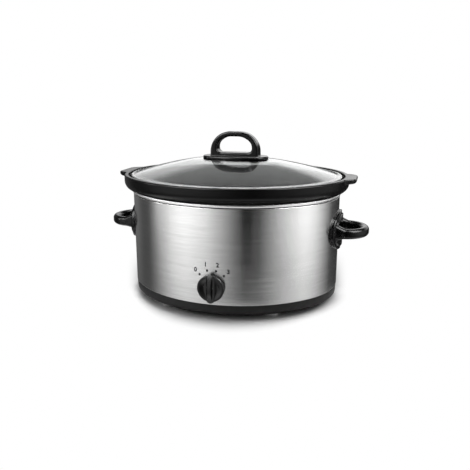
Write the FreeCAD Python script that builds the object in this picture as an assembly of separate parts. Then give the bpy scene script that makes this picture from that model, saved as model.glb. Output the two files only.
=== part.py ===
import FreeCAD, Part
import math
import os

# An oval slow cooker, in millimetres. It stands on z = 0, its knob faces -Y and its handles lie along X.

Vector = FreeCAD.Vector
ORIGIN = Vector(0, 0, 0)
RIGHT = Vector(1, 0, 0)
BACK = Vector(0, 1, 0)
UP = Vector(0, 0, 1)
SIDES = (-1, 1)
FAR = 300.0
LEVEL = 0.1

# Plan of the body: an oval of two end arcs and two flatter side arcs
HALF_LENGTH = 160.0
HALF_DEPTH = 135.0
END_RADIUS = 116.0
CORE_INSET = 100.0

# Steel wrap, with a lapped seam at the back
WRAP_BOTTOM = 21.0
WRAP_TOP = 160.2
WRAP_THICKNESS = 0.5
SEAM_WIDTH = 9.0
SEAM_TURN = 12.0
SEAM_TOP = 158.4

# Base tray and feet
TRAY_BOTTOM = 6.0
TRAY_WALL = 2.6
TRAY_SKIRT_INSET = 0.3
TRAY_DRAFT = 0.8
TRAY_LIP_TOP = 29.0
TRAY_LIP_WALL = 2.0
TRAY_ROUND = 4.0
TRAY_INNER_ROUND = 5.0
RIB_X = 92.0
RIB_HALF_LENGTH = 58.0
RIB_THICKNESS = 2.0
RIB_HEIGHT = 5.0
VENT_COLUMNS = 7
VENT_PITCH = 14.0
VENT_WIDTH = 5.0
VENT_LENGTH = 32.0
VENT_ROW_Y = 24.0
FOOT_RADIUS = 11.0
FOOT_DRAFT = 0.8
FOOT_ROUND = 1.6
FOOT_X = 78.0
FOOT_Y = 96.0
FOOT_STUD_RADIUS = 3.0
FOOT_BARB_RADIUS = 4.5
FOOT_BARB_HEIGHT = 2.0

# Heating liner, with the rolled rim that shows as a bright bead
LINER_SHEET = 0.8
LINER_TOP = 163.8
LINER_TOP_INSET = 13.3
LINER_FLOOR = 32.0
LINER_FLOOR_INSET = 26.0
LINER_CORNER = 14.0
LINER_RIM_ROUND = 3.0
BEAD_RADIUS = 2.5
BEAD_PROUD = 1.5

# Stoneware crock
LIP_TOP = 187.0
LIP_PROUD = 13.0
LIP_ROUND = 3.0
COLLAR_BOTTOM = 164.1
COLLAR_ROUND = 12.9
SEAT_TOP = 182.4
SEAT_OUTER = 6.6
SEAT_INNER = -5.0
SEAT_ROUND = 1.5
CROCK_NECK_INSET = 15.0
CROCK_BOTTOM = 38.5
CROCK_BOTTOM_INSET = 29.0
CROCK_BOTTOM_ROUND = 14.0
CROCK_FLOOR = 49.0
CROCK_FLOOR_INSET = 37.5
CROCK_FLOOR_ROUND = 24.0
CROCK_FLARE_INSET = 24.0
CROCK_FLARE_HEIGHT = 158.0
CROCK_FLARE_ROUND = 30.0
LUG_TIP = 184.5
LUG_TIP_HALF = 25.0
LUG_TIP_ROUND = 14.0
LUG_ROOT = 150.0
LUG_ROOT_HALF = 42.0
LUG_THICKNESS = 7.0
LUG_EDGE_ROUND = 2.4
LUG_UNDER_ROUND = 4.4

# Glass lid
GLASS = 4.0
GLASS_PROUD = 2.2
GLASS_EDGE_ROUND = 1.7
GLASS_REST = 182.7
DOME_START_INSET = 3.0
DOME_START_ROUND = 25.0
DOME_MIDDLE_INSET = 45.0
DOME_MIDDLE_RISE = 13.1
DOME_MIDDLE_ROUND = 600.0
DOME_TOP_INSET = 98.0
DOME_TOP_ROUND = 90.0
DOME_RISE = 22.7
LID_CORE_INSET = 108.0
LID_HOLE_RADIUS = 3.5

# Lid handle and its screws
LID_FLANGE_HALF_LENGTH = 50.8
LID_FLANGE_HALF_DEPTH = 27.0
LID_FLANGE_END_RADIUS = 21.0
LID_FLANGE_THICKNESS = 4.4
LID_FLANGE_ROUND = 2.1
LOOP_HALF_WIDTH = 37.4
LOOP_TOP = 250.0
LOOP_ROUND = 29.4
LOOP_HOLE_HALF = 27.0
LOOP_HOLE_TOP = 242.8
LOOP_HOLE_CROWN_HALF = 14.4
LOOP_HOLE_CROWN_ROUND = 27.0
LOOP_HOLE_SHOULDER = 232.2
LOOP_HOLE_SHOULDER_ROUND = 13.4
LOOP_SILL_RISE = 5.0
LOOP_SILL_ROUND = 6.5
LOOP_DEPTH_LOW = 24.0
LOOP_DEPTH_TOP = 16.0
LOOP_EDGE_ROUND = 3.1
LID_SCREW_X = 30.5
LID_SCREW_RADIUS = 2.5
LID_SCREW_HEAD_RADIUS = 5.0
LID_SCREW_HEAD = 2.8
LID_SCREW_GRIP = 6.7
LID_WASHER_RADIUS = 7.0
LID_WASHER = 1.5

# Side handles
HANDLE_HEIGHT = 107.5
FLANGE_HALF_WIDTH = 45.0
FLANGE_HALF_HEIGHT = 29.0
FLANGE_END_RADIUS = 25.0
FLANGE_FACE = 166.4
FLANGE_FACE_RADIUS = 140.0
FLANGE_STEP = 2.2
FLANGE_STEP_INSET = 5.0
FLANGE_ROUND = 1.6
HANDLE_LEG_Y = 31.5
HANDLE_TIP = 199.2
HANDLE_BAR_WIDTH = 12.5
HANDLE_BAR_HEIGHT = 14.5
HANDLE_BAR_ROUND = 5.5

# Root of a handle's leg: how far out from the flange's face, then how much wider on each side, lower and
# higher than the bar it is there. The last step lies just inside the bar.
LEG_ROOT_STEPS = [(-8.0, 2.0, 2.0, 8.0), (-2.9, 1.2, 1.0, 4.5), (2.6, 0.4, 0.2, 1.8), (8.6, -0.6, -0.6, -0.6)]

# Handle screws and washers
HANDLE_SCREW_LENGTH = 15.0
HANDLE_WASHER_RADIUS = 6.0
HANDLE_WASHER = 1.2

# Control knob and the rotary switch behind it
KNOB_HEIGHT = 46.7
KNOB_RADIUS = 19.4
KNOB_DRAFT = 0.5
KNOB_GAP = 1.2
KNOB_BACK_ROUND = 0.5
KNOB_RIM = 7.4
KNOB_RIM_WIDTH = 3.2
KNOB_RIM_ROUND = 1.4
KNOB_DISH = 1.9
KNOB_DISH_SLOPE = 5.8
KNOB_DISH_ROUND = 8.0
KNOB_GRIP_TOP = 14.0
KNOB_GRIP_TOP_HALF = 2.0
KNOB_GRIP_TOP_ROUND = 1.0
KNOB_GRIP_ROOT_HALF = 4.6
KNOB_GRIP_SCOOP = 7.0
KNOB_EAR_HALF = 10.0
KNOB_EAR_SHOULDER = 15.8
KNOB_EAR_POINT = 21.8
KNOB_EAR_ROUND = 4.0
KNOB_EAR_HEIGHT = 6.6
KNOB_HOLLOW_RADIUS = 12.0
KNOB_HOLLOW_TOP = 3.9
SPINDLE_RADIUS = 3.0
SPINDLE_FLAT = 2.2
SPINDLE_TOP = 9.0
SPINDLE_DEPTH = 12.0
RUNNING_GAP = 0.06
CLIP_THICKNESS = 0.5
CLIP_HALF_WIDTH = 1.2
BUSH_RADIUS = 4.8
BUSH_TOP = 3.2
NUT_ACROSS_FLATS = 14.0
NUT_HEIGHT = 2.2
PLATE_HALF = 17.0
PLATE_THICKNESS = 1.2
SWITCH_HALF = 14.0
SWITCH_DEPTH = 15.0
SWITCH_ROUND = 1.5
TERMINAL_PITCH = 8.0
TERMINAL_LENGTH = 8.0
TERMINAL_WIDTH = 4.8
TERMINAL_THICKNESS = 0.8

# Heater band, its strap and the thermal cut-off
HEATER_LOW = 66.0
HEATER_HIGH = 112.0
HEATER_THICKNESS = 3.0
HEATER_GAP_HALF = 12.0
STRAP_THICKNESS = 0.6
STRAP_WIDTH = 14.0
STRAP_EAR_X = 5.0
STRAP_EAR_LENGTH = 11.0
STRAP_EAR_THICKNESS = 1.2
STRAP_BOLT_REACH = 6.6
BOLT_ACROSS_FLATS = 7.0
BOLT_HEAD = 2.8
BOLT_NUT = 3.2
BOLT_END = 5.0
CUTOFF_Y = 20.0
CUTOFF_RADIUS = 2.5
CUTOFF_HALF = 8.0
CUTOFF_TAIL = 15.0
CUTOFF_TAIL_RADIUS = 0.6
CUTOFF_CLIP_FOOT = 10.0
CUTOFF_CLIP_WIDTH = 6.0

# Posts, heat shield and screws inside the base
POST_X = 70.0
POST_Y = 55.0
POST_RADIUS = 5.0
POST_NECK_RADIUS = 3.0
SHIELD_HEIGHT = 19.0
SHIELD_THICKNESS = 0.6
SHIELD_INSET = 24.0
SHIELD_HOLE_RADIUS = 4.0
SCREW_RADIUS = 2.0
SCREW_HEAD_RADIUS = 4.0
SCREW_HEAD = 2.6
SCREW_HEAD_ROUND = 0.6
SCREW_PLAY = 0.3
THREAD_GAP = 0.05
BASE_SCREW_LENGTH = 12.0

# Cord gland and the leads inside
GLAND_HEIGHT = 46.7
GLAND_RADIUS = 7.0
GLAND_FLANGE_RADIUS = 10.0
GLAND_FLANGE = 3.0
GLAND_BARB = 1.6
GLAND_BORE_RADIUS = 3.75
GLAND_OUT = 9.0
GLAND_IN = 11.0
GLAND_ROUND = 1.0
GLAND_TAPER = 1.0
LEAD_RADIUS = 1.3
LEAD_BEND = 6.0
LEAD_GAP = 0.6
LEAD_X = 22.0
LOW_LEAD_X = 33.0
HIGH_LEAD_X = 44.0
CONNECTOR_RADIUS = 3.2
CONNECTOR_MOUTH_RADIUS = 4.2
CONNECTOR_MOUTH = 3.0
CONNECTOR_NECK = 6.0
CONNECTOR_LENGTH = 15.0
CONNECTOR_ROUND = 1.0
CONNECTOR_FRONT = 62.0

TRAY_FLOOR = TRAY_BOTTOM + TRAY_WALL
FRONT = -HALF_DEPTH
END_CENTRE = HALF_LENGTH - END_RADIUS
LINER_UNDERSIDE = LINER_FLOOR - LINER_SHEET
GLASS_TOP = GLASS_REST + GLASS + DOME_RISE
LID_SCREW_END = GLASS_TOP + LID_SCREW_GRIP
LEAD_HEIGHT = TRAY_FLOOR + CONNECTOR_MOUTH_RADIUS


def polar(angle):
    turn = math.radians(angle)
    return Vector(math.cos(turn), math.sin(turn), 0)


def oval_arcs(half_length, half_depth, end_radius):
    """Centre, radius, start angle and sweep of an oval's four arcs: right, back, left and front."""
    end_centre = half_length - end_radius
    side_radius = half_depth**2 + end_centre**2 - end_radius**2
    side_radius = side_radius / (2 * (half_depth - end_radius))
    side_centre = side_radius - half_depth
    half_end = math.degrees(math.atan2(side_centre, end_centre))
    side_sweep = 180 - 2 * half_end
    return [
        (Vector(end_centre, 0, 0), end_radius, -half_end, 2 * half_end),
        (Vector(0, -side_centre, 0), side_radius, half_end, side_sweep),
        (Vector(-end_centre, 0, 0), end_radius, 180 - half_end, 2 * half_end),
        (Vector(0, side_centre, 0), side_radius, 180 + half_end, side_sweep),
    ]


BODY = oval_arcs(HALF_LENGTH, HALF_DEPTH, END_RADIUS)


def body_depth(x, offset):
    """Y of the body's back arc at x, moved out by offset."""
    centre, radius, start, sweep = BODY[1]
    return centre.y + math.sqrt((radius + offset)**2 - x**2)


def oval_slab(arcs, offset, low, high):
    """A flat slab whose outline is the oval moved out by offset."""
    edges = []
    for centre, radius, start, sweep in arcs:
        edges.append(Part.makeCircle(radius + offset, centre + UP * low, UP, start, start + sweep))
    return Part.Face(Part.Wire(edges)).extrude(UP * (high - low))


def path_edges(points, radii, closed):
    """Straight runs through the points, with a tangent arc of its radius at each point."""
    bends = []
    for index, here in enumerate(points):
        if not closed and index in (0, len(points) - 1):
            bends.append((here, here, here))
            continue
        to_last = (points[index - 1] - here).normalize()
        to_next = (points[(index + 1) % len(points)] - here).normalize()
        half = to_last.getAngle(to_next) / 2
        reach = radii[index] / math.tan(half)
        middle = here
        if radii[index]:
            middle = here + (to_last + to_next).normalize() * (radii[index] / math.sin(half) - radii[index])
        bends.append((here + to_last * reach, middle, here + to_next * reach))
    edges = []
    for index, (start, middle, end) in enumerate(bends):
        if start.distanceToPoint(end) > 1e-6:
            edges.append(Part.Arc(start, middle, end).toShape())
        if closed or index < len(bends) - 1:
            following = bends[(index + 1) % len(bends)][0]
            if end.distanceToPoint(following) > 1e-6:
                edges.append(Part.makeLine(end, following))
    return edges


def rounded_face(corners, place):
    """Face with corners (u, v) or (u, v, radius), set in space by place(u, v)."""
    points = [place(corner[0], corner[1]) for corner in corners]
    radii = [corner[2] if len(corner) > 2 else 0 for corner in corners]
    return Part.Face(Part.Wire(path_edges(points, radii, True)))


def swept_arc(arc, corners):
    """The profile (offset, z) carried round one arc of an oval."""
    centre, radius, start, sweep = arc
    out = polar(start)
    face = rounded_face(corners, lambda offset, z: centre + out * (radius + offset) + UP * z)
    return face.revolve(centre, UP, sweep)


def fuse(pieces):
    return pieces[0].multiFuse(pieces[1:]).removeSplitter()


def oval_ring(arcs, corners):
    """The profile (offset, z) carried all the way round an oval."""
    return fuse([swept_arc(arc, corners) for arc in arcs])


def box(low, high):
    size = high - low
    return Part.makeBox(size.x, size.y, size.z, low)


def cylinder(centre, axis, radius, low, high):
    return Part.makeCylinder(radius, high - low, centre + axis * low, axis)


def drill(centre, axis, radius):
    return cylinder(centre, axis, radius, -FAR, FAR)


def across(axis):
    """A direction square to an axis."""
    if abs(axis.z) > 0.5:
        return RIGHT
    return axis.cross(UP)


def turned(centre, axis, corners):
    """A solid turned about axis from a profile (radius, height)."""
    side = across(axis)
    face = rounded_face(corners, lambda radius, height: centre + side * radius + axis * height)
    return face.revolve(centre, axis, 360)


def hex_prism(centre, axis, across_flats, low, high):
    side = across(axis)
    other = axis.cross(side)
    reach = across_flats / math.sqrt(3)
    turns = [math.radians(60 * index) for index in range(7)]
    foot = centre + axis * low
    points = [foot + side * (reach * math.cos(turn)) + other * (reach * math.sin(turn)) for turn in turns]
    return Part.Face(Part.makePolygon(points)).extrude(axis * (high - low))


def screw(centre, axis, radius, head_radius, head, length):
    """A pan-head screw: its head lies below centre and its shank runs along the axis."""
    return turned(centre, axis, [
        (0, -head), (head_radius, -head, head * SCREW_HEAD_ROUND), (head_radius, 0),
        (radius, 0), (radius, length), (0, length),
    ])


def foot_places():
    return [(x * FOOT_X, y * FOOT_Y) for y in SIDES for x in SIDES]


def post_places():
    return [Vector(x * POST_X, y * POST_Y, 0) for y in SIDES for x in SIDES]


def handle_screw_axes(side):
    """Point on the wrap's outside and outward direction of each screw of one side handle."""
    lean = math.degrees(math.asin(HANDLE_LEG_Y / END_RADIUS))
    axes = []
    for turn in (-lean, lean):
        out = polar(turn)
        out.x = out.x * side
        centre = Vector(side * END_CENTRE, 0, HANDLE_HEIGHT)
        axes.append((centre + out * END_RADIUS, out))
    return axes


def tray_vents():
    slots = []
    size = Vector(VENT_WIDTH, VENT_LENGTH, FAR)
    for row in SIDES:
        for column in range(VENT_COLUMNS):
            x = (column - (VENT_COLUMNS - 1) / 2) * VENT_PITCH
            low = Vector(x - VENT_WIDTH / 2, row * VENT_ROW_Y - VENT_LENGTH / 2, 0)
            slots.append(box(low, low + size))
    return slots


def base_tray():
    lip = -WRAP_THICKNESS
    inside = lip - TRAY_LIP_WALL
    wall = oval_ring(BODY, [
        (-TRAY_SKIRT_INSET, WRAP_BOTTOM), (lip, WRAP_BOTTOM), (lip, TRAY_LIP_TOP), (inside, TRAY_LIP_TOP),
        (inside, TRAY_FLOOR, TRAY_INNER_ROUND), (-CORE_INSET, TRAY_FLOOR), (-CORE_INSET, TRAY_BOTTOM),
        (-TRAY_SKIRT_INSET - TRAY_DRAFT, TRAY_BOTTOM, TRAY_ROUND),
    ])
    pieces = [wall, oval_slab(BODY, -CORE_INSET, TRAY_BOTTOM, TRAY_FLOOR)]
    for side in SIDES:
        low = Vector(side * RIB_X - RIB_THICKNESS / 2, -RIB_HALF_LENGTH, TRAY_FLOOR)
        pieces.append(box(low, low + Vector(RIB_THICKNESS, 2 * RIB_HALF_LENGTH, RIB_HEIGHT)))
    holes = tray_vents()
    holes += [drill(Vector(x, y, 0), UP, FOOT_STUD_RADIUS) for x, y in foot_places()]
    holes += [drill(place, UP, SCREW_RADIUS + SCREW_PLAY) for place in post_places()]
    return fuse(pieces).cut(holes)


def foot(x, y):
    stud_top = TRAY_FLOOR + FOOT_BARB_HEIGHT
    return turned(Vector(x, y, 0), UP, [
        (0, 0), (FOOT_RADIUS - FOOT_DRAFT, 0, FOOT_ROUND), (FOOT_RADIUS, TRAY_BOTTOM),
        (FOOT_STUD_RADIUS, TRAY_BOTTOM), (FOOT_STUD_RADIUS, TRAY_FLOOR), (FOOT_BARB_RADIUS, TRAY_FLOOR),
        (FOOT_STUD_RADIUS, stud_top), (0, stud_top),
    ])


def base_screws():
    under = UP * TRAY_BOTTOM
    sizes = (SCREW_RADIUS, SCREW_HEAD_RADIUS, SCREW_HEAD, BASE_SCREW_LENGTH)
    return Part.makeCompound([screw(place + under, UP, *sizes) for place in post_places()])


def liner_posts():
    bore = SCREW_RADIUS + THREAD_GAP
    posts = []
    for place in post_places():
        posts.append(turned(place, UP, [
            (bore, TRAY_FLOOR), (POST_RADIUS, TRAY_FLOOR), (POST_RADIUS, SHIELD_HEIGHT),
            (POST_NECK_RADIUS, SHIELD_HEIGHT), (POST_NECK_RADIUS, LINER_UNDERSIDE), (0, LINER_UNDERSIDE),
            (0, SHIELD_HEIGHT), (bore, SHIELD_HEIGHT),
        ]))
    return Part.makeCompound(posts)


def heat_shield():
    plate = oval_slab(BODY, -SHIELD_INSET, SHIELD_HEIGHT, SHIELD_HEIGHT + SHIELD_THICKNESS)
    holes = [drill(place, UP, POST_NECK_RADIUS) for place in post_places()]
    holes += [drill(Vector(side * LEAD_X, CUTOFF_Y, 0), UP, SHIELD_HOLE_RADIUS) for side in SIDES]
    return plate.cut(holes)


def outer_wrap():
    band = oval_ring(BODY, [
        (0, WRAP_BOTTOM), (0, WRAP_TOP), (-WRAP_THICKNESS, WRAP_TOP), (-WRAP_THICKNESS, WRAP_BOTTOM),
    ])
    centre, radius, start, sweep = BODY[1]
    seam_sweep = math.degrees(SEAM_WIDTH / radius)
    lap = swept_arc((centre, radius, 90 - SEAM_TURN, seam_sweep), [
        (0, WRAP_BOTTOM), (0, SEAM_TOP), (WRAP_THICKNESS, SEAM_TOP), (WRAP_THICKNESS, WRAP_BOTTOM),
    ])
    holes = [cylinder(Vector(0, FRONT, KNOB_HEIGHT), BACK, BUSH_RADIUS, -END_RADIUS, END_RADIUS)]
    holes.append(cylinder(Vector(0, HALF_DEPTH, GLAND_HEIGHT), BACK, GLAND_RADIUS, -END_RADIUS, END_RADIUS))
    for side in SIDES:
        for point, out in handle_screw_axes(side):
            holes.append(cylinder(point, out, SCREW_RADIUS + SCREW_PLAY, -END_RADIUS, END_RADIUS))
    return fuse([band, lap]).cut(holes)


def liner_outside(height):
    """Offset of the liner's outside wall at a height."""
    share = (height - LINER_UNDERSIDE) / (LINER_TOP - LINER_FLOOR)
    return LINER_SHEET - LINER_FLOOR_INSET + (LINER_FLOOR_INSET - LINER_TOP_INSET) * share


def heating_liner():
    bead_low = LINER_TOP - 2 * BEAD_RADIUS
    bead_middle = BEAD_PROUD - BEAD_RADIUS
    bead_inner = BEAD_PROUD - 2 * BEAD_RADIUS
    under_rim = LINER_TOP - LINER_SHEET
    sheet = oval_ring(BODY, [
        (bead_middle, LINER_TOP), (-LINER_TOP_INSET, LINER_TOP, LINER_RIM_ROUND),
        (-LINER_FLOOR_INSET, LINER_FLOOR, LINER_CORNER), (-CORE_INSET, LINER_FLOOR),
        (-CORE_INSET, LINER_UNDERSIDE),
        (liner_outside(LINER_UNDERSIDE), LINER_UNDERSIDE, LINER_CORNER + LINER_SHEET),
        (liner_outside(under_rim), under_rim, LINER_RIM_ROUND - LINER_SHEET), (bead_middle, under_rim),
    ])
    bead = oval_ring(BODY, [
        (BEAD_PROUD, bead_low, BEAD_RADIUS), (BEAD_PROUD, LINER_TOP, BEAD_RADIUS),
        (bead_inner, LINER_TOP, BEAD_RADIUS), (bead_inner, bead_low, BEAD_RADIUS),
    ])
    groove = oval_ring(BODY, [(0, 0), (0, WRAP_TOP), (-WRAP_THICKNESS, WRAP_TOP), (-WRAP_THICKNESS, 0)])
    floor = oval_slab(BODY, -CORE_INSET, LINER_UNDERSIDE, LINER_FLOOR)
    return fuse([sheet, bead, floor]).cut(groove)


def liner_jacket(low, high, gap, thickness):
    """A band round the liner's outside between two heights."""
    return oval_ring(BODY, [
        (liner_outside(low) + gap, low), (liner_outside(high) + gap, high),
        (liner_outside(high) + gap + thickness, high), (liner_outside(low) + gap + thickness, low),
    ])


def back_slot(half_width):
    """A box that opens a band round the liner at the back."""
    return box(Vector(-half_width, 0, LINER_FLOOR), Vector(half_width, HALF_DEPTH, LINER_TOP))


def heater_band():
    return liner_jacket(HEATER_LOW, HEATER_HIGH, 0, HEATER_THICKNESS).cut(back_slot(HEATER_GAP_HALF))


def strap_bolt_centre():
    height = (HEATER_LOW + HEATER_HIGH) / 2
    return Vector(0, body_depth(0, liner_outside(height) + HEATER_THICKNESS) + STRAP_BOLT_REACH, height)


def heater_strap():
    low = (HEATER_LOW + HEATER_HIGH - STRAP_WIDTH) / 2
    high = low + STRAP_WIDTH
    pieces = [liner_jacket(low, high, HEATER_THICKNESS, STRAP_THICKNESS).cut(back_slot(STRAP_EAR_X))]
    root = body_depth(0, liner_outside(low) + HEATER_THICKNESS)
    for side in SIDES:
        left = STRAP_EAR_X if side > 0 else -STRAP_EAR_X - STRAP_EAR_THICKNESS
        corner = Vector(left, root, low)
        pieces.append(box(corner, corner + Vector(STRAP_EAR_THICKNESS, STRAP_EAR_LENGTH, STRAP_WIDTH)))
    return fuse(pieces).cut(drill(strap_bolt_centre(), RIGHT, SCREW_RADIUS + THREAD_GAP))


def strap_bolt():
    face = STRAP_EAR_X + STRAP_EAR_THICKNESS
    head = hex_prism(strap_bolt_centre(), RIGHT, BOLT_ACROSS_FLATS, face, face + BOLT_HEAD)
    return fuse([head, cylinder(strap_bolt_centre(), RIGHT, SCREW_RADIUS, -face - BOLT_END, face)])


def strap_nut():
    face = STRAP_EAR_X + STRAP_EAR_THICKNESS
    nut = hex_prism(strap_bolt_centre(), RIGHT, BOLT_ACROSS_FLATS, -face - BOLT_NUT, -face)
    return nut.cut(drill(strap_bolt_centre(), RIGHT, SCREW_RADIUS + THREAD_GAP))


def cutoff_centre():
    return Vector(0, CUTOFF_Y, LINER_UNDERSIDE - CUTOFF_RADIUS)


def thermal_cutoff():
    body = cylinder(cutoff_centre(), RIGHT, CUTOFF_RADIUS, -CUTOFF_HALF, CUTOFF_HALF)
    tails = cylinder(cutoff_centre(), RIGHT, CUTOFF_TAIL_RADIUS, -CUTOFF_TAIL, CUTOFF_TAIL)
    return fuse([body, tails])


def cutoff_clip():
    inner = CUTOFF_RADIUS
    outer = CUTOFF_RADIUS + CLIP_THICKNESS
    low = LINER_UNDERSIDE - 2 * CUTOFF_RADIUS
    foot_low = LINER_UNDERSIDE - CLIP_THICKNESS
    face = rounded_face([
        (-CUTOFF_CLIP_FOOT, LINER_UNDERSIDE), (-CUTOFF_CLIP_FOOT, foot_low), (-outer, foot_low),
        (-outer, low - CLIP_THICKNESS, outer), (outer, low - CLIP_THICKNESS, outer), (outer, foot_low),
        (CUTOFF_CLIP_FOOT, foot_low), (CUTOFF_CLIP_FOOT, LINER_UNDERSIDE), (inner, LINER_UNDERSIDE),
        (inner, low, inner), (-inner, low, inner), (-inner, LINER_UNDERSIDE),
    ], lambda y, z: Vector(-CUTOFF_CLIP_WIDTH / 2, CUTOFF_Y + y, z))
    return face.extrude(RIGHT * CUTOFF_CLIP_WIDTH)


def handle_washer_face():
    """Depth inside the wrap at which a flat washer meets the curved wall."""
    return END_RADIUS - math.sqrt((END_RADIUS - WRAP_THICKNESS)**2 - HANDLE_WASHER_RADIUS**2)


def handle_washers():
    washers = []
    high = -handle_washer_face()
    for side in SIDES:
        for point, out in handle_screw_axes(side):
            washer = cylinder(point, out, HANDLE_WASHER_RADIUS, high - HANDLE_WASHER, high)
            washers.append(washer.cut(drill(point, out, SCREW_RADIUS + SCREW_PLAY)))
    return Part.makeCompound(washers)


def handle_screws():
    screws = []
    under = -handle_washer_face() - HANDLE_WASHER
    sizes = (SCREW_RADIUS, SCREW_HEAD_RADIUS, SCREW_HEAD, HANDLE_SCREW_LENGTH)
    for side in SIDES:
        for point, out in handle_screw_axes(side):
            screws.append(screw(point + out * under, out, *sizes))
    return Part.makeCompound(screws)


def handle_flange():
    """A stepped oval plate that stands on the wrap's end, with a gently bowed face."""
    outline = oval_arcs(FLANGE_HALF_WIDTH, FLANGE_HALF_HEIGHT, FLANGE_END_RADIUS)
    bow_axis = RIGHT * (FLANGE_FACE - FLANGE_FACE_RADIUS)
    levels = []
    for inset, drop in ((0, FLANGE_STEP), (FLANGE_STEP_INSET, 0)):
        slab = oval_slab(outline, -inset, END_RADIUS, HANDLE_TIP)
        slab.rotate(ORIGIN, Vector(1, 1, 1), 120)
        slab.translate(UP * HANDLE_HEIGHT)
        bow = cylinder(bow_axis, UP, FLANGE_FACE_RADIUS - drop, 0, FAR)
        bow.rotate(bow_axis, UP, 180)
        level = slab.common(bow)
        rim = [edge for edge in level.Edges if edge.BoundBox.XMin > END_RADIUS + LEVEL]
        levels.append(level.makeFillet(FLANGE_ROUND, rim))
    return fuse(levels)


def handle_loop():
    """A round-cornered bar bent into a half circle, with straight legs to the flange."""
    bend_centre = Vector(HANDLE_TIP - HANDLE_LEG_Y, 0, HANDLE_HEIGHT)
    half_wide = HANDLE_BAR_WIDTH / 2
    half_tall = HANDLE_BAR_HEIGHT / 2
    turns = ((-1, -1), (1, -1), (1, 1), (-1, 1))
    section = [(u * half_wide, v * half_tall, HANDLE_BAR_ROUND) for u, v in turns]
    pieces = []
    for side in SIDES:
        middle = bend_centre + BACK * (side * HANDLE_LEG_Y)
        face = rounded_face(section, lambda u, v: middle + BACK * u + UP * v)
        pieces.append(face.extrude(RIGHT * (END_RADIUS - bend_centre.x)))
        pieces.append(face.revolve(bend_centre, UP, -90 * side))
    return fuse(pieces)


def leg_root(side):
    """The root of a leg, which widens and rises as it runs into the flange."""
    bend_start = HANDLE_TIP - HANDLE_LEG_Y
    sections = []
    for out, wider, lower, higher in LEG_ROOT_STEPS:
        x = FLANGE_FACE + out
        y = side * math.sqrt(HANDLE_LEG_Y**2 - max(0, x - bend_start)**2)
        half_wide = HANDLE_BAR_WIDTH / 2 + wider
        low = HANDLE_HEIGHT - HANDLE_BAR_HEIGHT / 2 - lower
        high = HANDLE_HEIGHT + HANDLE_BAR_HEIGHT / 2 + higher
        turns = ((-half_wide, low), (half_wide, low), (half_wide, high), (-half_wide, high))
        corners = [(u, z, HANDLE_BAR_ROUND) for u, z in turns]
        sections.append(rounded_face(corners, lambda u, z: Vector(x, y + u, z)).OuterWire)
    return Part.makeLoft(sections, True)


def side_handle(side):
    cuts = [oval_slab(BODY, 0, 0, FAR)]
    for point, out in handle_screw_axes(1):
        cuts.append(cylinder(point, out, SCREW_RADIUS + THREAD_GAP, -END_RADIUS, HANDLE_SCREW_LENGTH))
    roots = [leg_root(leg) for leg in SIDES]
    handle = fuse([handle_flange(), handle_loop()] + roots).cut(cuts)
    if side < 0:
        handle = handle.mirror(ORIGIN, RIGHT)
    return handle


def at_knob(shape):
    """Stands a shape built along +Z, with its pointer along +Y, out from the wrap's front."""
    shape.rotate(ORIGIN, RIGHT, 90)
    shape.translate(Vector(0, FRONT, KNOB_HEIGHT))
    return shape


def knob_ears():
    """The knob's outline where it runs to a blunt point at both ends of the grip."""
    half, shoulder, point = KNOB_EAR_HALF, KNOB_EAR_SHOULDER, KNOB_EAR_POINT
    return rounded_face([
        (half, shoulder), (0, point, KNOB_EAR_ROUND), (-half, shoulder),
        (-half, -shoulder), (0, -point, KNOB_EAR_ROUND), (half, -shoulder),
    ], lambda x, y: Vector(x, y, KNOB_GAP))


def knob_grip(low):
    """The ridge across the knob: its sides scoop down to the dish and it is arched along its length."""
    root, top, wide = KNOB_GRIP_ROOT_HALF, KNOB_GRIP_TOP_HALF, KNOB_EAR_HALF
    ridge = rounded_face([
        (-wide, KNOB_GAP), (wide, KNOB_GAP), (wide, low), (root, low, KNOB_GRIP_SCOOP),
        (top, KNOB_GRIP_TOP, KNOB_GRIP_TOP_ROUND), (-top, KNOB_GRIP_TOP, KNOB_GRIP_TOP_ROUND),
        (-root, low, KNOB_GRIP_SCOOP), (-wide, low),
    ], lambda x, z: Vector(x, -KNOB_EAR_POINT, z)).extrude(BACK * (2 * KNOB_EAR_POINT))
    fall = KNOB_GRIP_TOP - KNOB_RIM
    arch = (KNOB_EAR_POINT**2 + fall**2) / (2 * fall)
    ridge = ridge.common(cylinder(UP * (KNOB_GRIP_TOP - arch), RIGHT, arch, -KNOB_RADIUS, KNOB_RADIUS))
    return ridge.common(knob_ears().extrude(UP * KNOB_GRIP_TOP))


def control_knob():
    dish_floor = KNOB_RIM - KNOB_DISH
    rim_inside = KNOB_RADIUS - KNOB_RIM_WIDTH
    disc = turned(ORIGIN, UP, [
        (0, KNOB_GAP), (KNOB_RADIUS - KNOB_DRAFT, KNOB_GAP, KNOB_BACK_ROUND),
        (KNOB_RADIUS, KNOB_RIM, KNOB_RIM_ROUND), (rim_inside, KNOB_RIM, KNOB_RIM_ROUND),
        (rim_inside - KNOB_DISH_SLOPE, dish_floor, KNOB_DISH_ROUND), (0, dish_floor),
    ])
    ears = knob_ears().extrude(UP * (KNOB_EAR_HEIGHT - KNOB_GAP))
    ears = ears.cut(drill(ORIGIN, UP, KNOB_RADIUS - KNOB_RIM_WIDTH / 2))
    hollow = cylinder(ORIGIN, UP, KNOB_HOLLOW_RADIUS, 0, KNOB_HOLLOW_TOP)
    bore = cylinder(ORIGIN, UP, SPINDLE_RADIUS, 0, SPINDLE_TOP)
    corner = Vector(SPINDLE_RADIUS, SPINDLE_RADIUS, 0)
    bore = bore.common(box(-corner, Vector(SPINDLE_RADIUS, SPINDLE_FLAT + CLIP_THICKNESS, SPINDLE_TOP)))
    return at_knob(fuse([disc, knob_grip(dish_floor), ears]).cut([hollow, bore]))


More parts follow.
